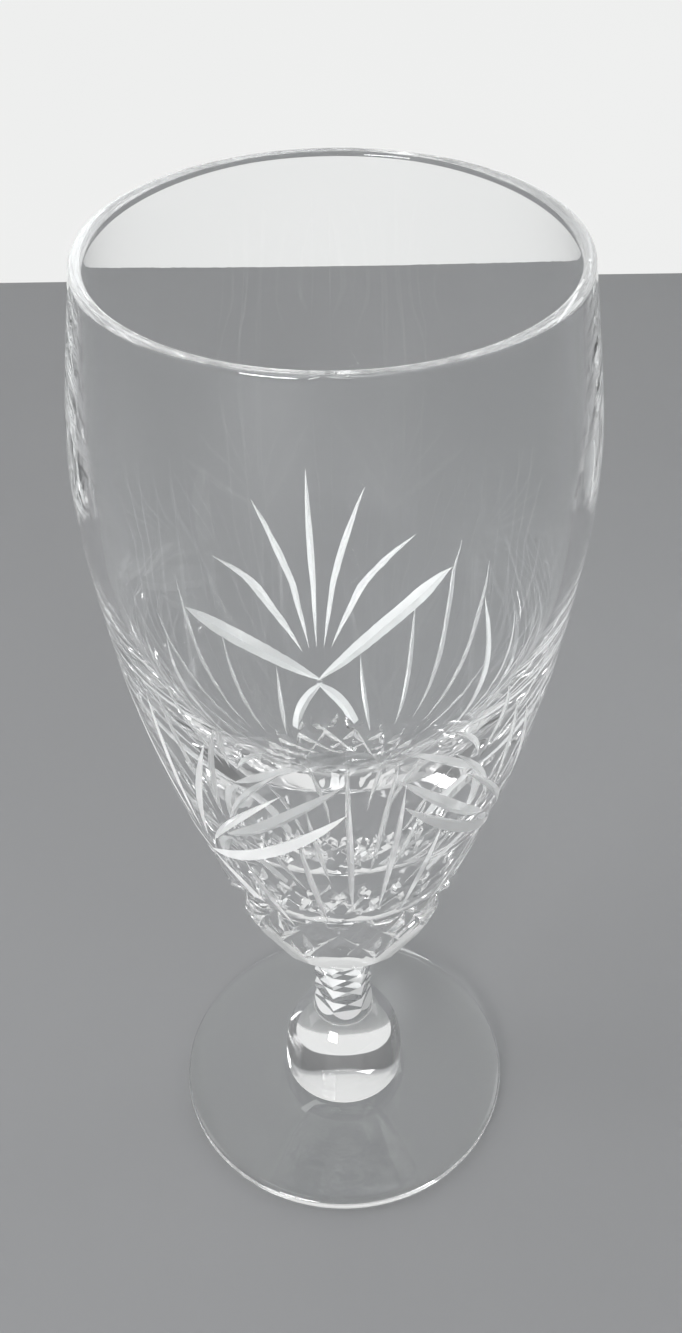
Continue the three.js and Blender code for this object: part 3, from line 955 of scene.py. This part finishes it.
class GLASS_OT_knop(bpy.types.Operator):
    """Turn the bell-shaped knop and scallop its neck"""

    bl_idname = "glass.knop"
    bl_label = "Knop"

    def execute(self, context):
        sizes, look = context.scene.glass_knop, context.scene.glass_look
        stem = context.scene.glass_stem
        height = KNOP_HIGH.z - KNOP_LOW.z
        outline = np.concatenate([[(0.0, 0.0)], self.bell(sizes, height, KNOP_ROWS), [(0.0, height)]])
        knop = new_object("bell_knop", turned_mesh("bell_knop", outline, KNOP_LOW.z))
        apothem = stem.across_corners / 2 * math.cos(math.pi / stem.sides)
        width = stem.across_corners
        lean = math.atan2(sizes.scallop_radius - apothem, sizes.scallop_height)
        matrix = Matrix.Rotation(math.pi / stem.sides, 4, "Z")
        matrix = matrix @ Matrix.Translation((apothem, 0.0, KNOP_HIGH.z)) @ Matrix.Rotation(-lean, 4, "Y")
        matrix = matrix @ Matrix.Translation((width / 2, 0.0, 0.0))
        scallop = slab_cutter("scallop", (width, width, 2 * sizes.scallop_height), matrix)
        polished = polished_crystal("knop polished crystal", look, look.shade)
        satin = satin_crystal("knop satin crystal", look, look.bowl_shade)
        mesh = carve(knop, [(scallop, "Scallops", satin)], {"Scallops": stem.sides}, polished)
        mark_joints(mesh, joint_crystal("knop joint"), [KNOP_LOW.z, KNOP_HIGH.z])
        index = mesh.materials.find(polished.name)
        smooth_turned(mesh, self.bell(sizes, height, KNOP_NORMAL_ROWS), KNOP_LOW.z, index)
        place_piece(knop, "knop")
        return {"FINISHED"}

    def bell(self, sizes, height, count):
        """An upright foot, a dome like half an ellipse and a straight neck."""
        end = math.acos(sizes.neck_radius / sizes.base_radius)
        turn = np.linspace(0.0, end, count)
        radii = sizes.base_radius * np.cos(turn)
        heights = sizes.upright + sizes.dome_height * np.sin(turn)
        dome = np.stack([radii, heights], axis=1)
        return np.concatenate([[(sizes.base_radius, 0.0)], dome, [(sizes.neck_radius, height)]])


class GLASS_OT_foot(bpy.types.Operator):
    """Turn the round foot"""

    bl_idname = "glass.foot"
    bl_label = "Foot"

    def execute(self, context):
        sizes, look = context.scene.glass_foot, context.scene.glass_look
        knop = context.scene.glass_knop
        seat = FOOT_HIGH.z
        edge = sizes.edge / 2
        rest = sizes.radius - sizes.rest_inset
        inner = rest - sizes.rest_width
        deep = sizes.hollow_depth
        hollow = bezier([(0.0, deep), (HOLLOW_BEND * inner, deep), (inner, 0.0)], HOLLOW_ROWS)
        ring = np.linspace((inner, 0.0), (rest, 0.0), REST_ROWS)
        rim = arc((sizes.radius - edge, edge), edge, EDGE_START, math.pi / 2, EDGE_ROWS)
        rise = bezier([
            (sizes.radius - edge, sizes.edge),
            ((sizes.radius + knop.base_radius) / 2, sizes.edge),
            (knop.base_radius + sizes.edge, (sizes.edge + seat) / 2),
            (knop.base_radius, seat),
        ], FOOT_ROWS)
        outline = np.concatenate([hollow, ring[1:], rim, rise[1:]])
        whole = np.concatenate([outline, [(0.0, seat)]])
        foot = new_object("round_foot", turned_mesh("round_foot", whole, FOOT_LOW.z))
        foot.data.materials.append(polished_crystal("foot polished crystal", look, look.shade))
        mark_joints(foot.data, joint_crystal("foot joint"), [FOOT_LOW.z + seat])
        smooth_turned(foot.data, outline, FOOT_LOW.z, 0)
        place_piece(foot, "foot")
        return {"FINISHED"}


class GLASS_OT_stage(bpy.types.Operator):
    """Lay the floor, hang the backdrop and set the lights and the camera"""

    bl_idname = "glass.stage"
    bl_label = "Stage"

    def execute(self, context):
        look = context.scene.glass_stage
        self.set_sheets(look)
        self.set_lights(look)
        self.set_camera(context.scene, look)
        self.allow_bounces(context.scene.cycles)
        context.scene.view_settings.view_transform = "Standard"
        return {"FINISHED"}

    def set_sheets(self, look):
        """Lays the floor under the glass and hangs the backdrop behind it."""
        reach = FLOOR_REACH
        low = -FLOOR_DROP
        corners = [(-reach, -reach, low), (reach, -reach, low), (reach, reach, low), (-reach, reach, low)]
        floor = self.sheet("floor", corners)
        floor.data.materials.append(stage_material("grey floor", look.floor, variation=0.04))
        away = look.backdrop_distance
        facing = Matrix.Rotation(look.camera_turn, 4, "Z")
        corners = [(-reach, away, 0), (reach, away, 0), (reach, away, reach / 2), (-reach, away, reach / 2)]
        backdrop = self.sheet("backdrop", [facing @ Vector(corner) for corner in corners])
        white = stage_material("white backdrop", look.backdrop, variation=0.02, one_sided=True)
        backdrop.data.materials.append(white)

    def sheet(self, name, corners):
        """A flat sheet with four corners."""
        mesh = bpy.data.meshes.new(name)
        mesh.from_pydata([tuple(corner) for corner in corners], [], [(0, 1, 2, 3)])
        return new_object(name, mesh)

    def set_lights(self, look):
        """Lights a soft room, brighter behind the glass, and sets the lamps."""
        world = bpy.data.worlds.new("soft room")
        world.use_nodes = True
        tree = world.node_tree
        make, link = tree.nodes.new, tree.links.new
        place = make("ShaderNodeTexCoord")
        axes = make("ShaderNodeSeparateXYZ")
        link(place.outputs["Generated"], axes.inputs[0])
        ramp = make("ShaderNodeMapRange")
        ramp.inputs["From Min"].default_value = -1.0
        ramp.inputs["To Min"].default_value = look.room_front
        ramp.inputs["To Max"].default_value = look.room_back
        link(axes.outputs["Y"], ramp.inputs["Value"])
        link(ramp.outputs[0], tree.nodes["Background"].inputs["Strength"])
        tree.nodes["Background"].inputs["Color"].default_value = (*look.room_tint, 1.0)
        bpy.context.scene.world = world
        for name, size, watts, spot, shows_in_glass in LAMPS:
            area_light(name, size, watts, spot, LAMP_TARGET, shows_in_glass)

    def allow_bounces(self, paths):
        """Lets light bounce often enough inside the thick glass."""
        paths.max_bounces = BOUNCES
        paths.glossy_bounces = BOUNCES
        paths.transmission_bounces = BOUNCES
        paths.transparent_max_bounces = BOUNCES

    def set_camera(self, scene, look):
        """Sets the camera where the photo was taken from."""
        data = bpy.data.cameras.new("photo camera")
        data.sensor_fit = "VERTICAL"
        data.sensor_height = SENSOR_HEIGHT
        data.lens = SENSOR_HEIGHT * look.focal_pixels / PHOTO_HEIGHT
        data.clip_start = 0.01
        camera = bpy.data.objects.new("photo camera", data)
        facing = Matrix.Rotation(look.camera_turn, 4, "Z")
        place = facing @ Vector((0.0, -look.camera_distance, look.camera_height))
        turn = Matrix.Rotation(look.camera_turn + look.camera_aim, 4, "Z")
        pitch = Matrix.Rotation(math.pi / 2 - look.camera_pitch, 4, "X")
        roll = Matrix.Rotation(look.camera_roll, 4, "Z")
        camera.matrix_world = Matrix.Translation(place) @ turn @ pitch @ roll
        scene.collection.objects.link(camera)
        scene.camera = camera


class GLASS_PT_panel(bpy.types.Panel):
    """Sidebar panel with the glass's pieces and sizes"""

    bl_idname = "GLASS_PT_panel"
    bl_label = "Cut crystal glass"
    bl_space_type = "VIEW_3D"
    bl_region_type = "UI"
    bl_category = "Glass"

    def draw(self, context):
        for operator in OPERATORS:
            self.layout.operator(operator.bl_idname)
        for name in SETTINGS:
            group = getattr(context.scene, name)
            box = self.layout.box()
            for key in group.bl_rna.properties.keys():
                if key not in ("name", "rna_type"):
                    box.prop(group, key)


OPERATORS = (GLASS_OT_foot, GLASS_OT_knop, GLASS_OT_stem, GLASS_OT_bowl, GLASS_OT_stage)
SETTINGS = {
    "glass_bowl": BowlSizes,
    "glass_cuts": CutPattern,
    "glass_stem": StemSizes,
    "glass_knop": KnopSizes,
    "glass_foot": FootSizes,
    "glass_look": CrystalLook,
    "glass_stage": StageLook,
}


def register():
    for cls in (*SETTINGS.values(), *OPERATORS, GLASS_PT_panel):
        bpy.utils.register_class(cls)
    for name, cls in SETTINGS.items():
        setattr(bpy.types.Scene, name, PointerProperty(type=cls))


def unregister():
    for name in SETTINGS:
        delattr(bpy.types.Scene, name)
    for cls in (GLASS_PT_panel, *reversed(OPERATORS), *reversed(SETTINGS.values())):
        bpy.utils.unregister_class(cls)


def main():
    register()
    bpy.ops.glass.foot()
    bpy.ops.glass.knop()
    bpy.ops.glass.stem()
    bpy.ops.glass.bowl()
    bpy.ops.glass.stage()


if __name__ == "__main__":
    main()
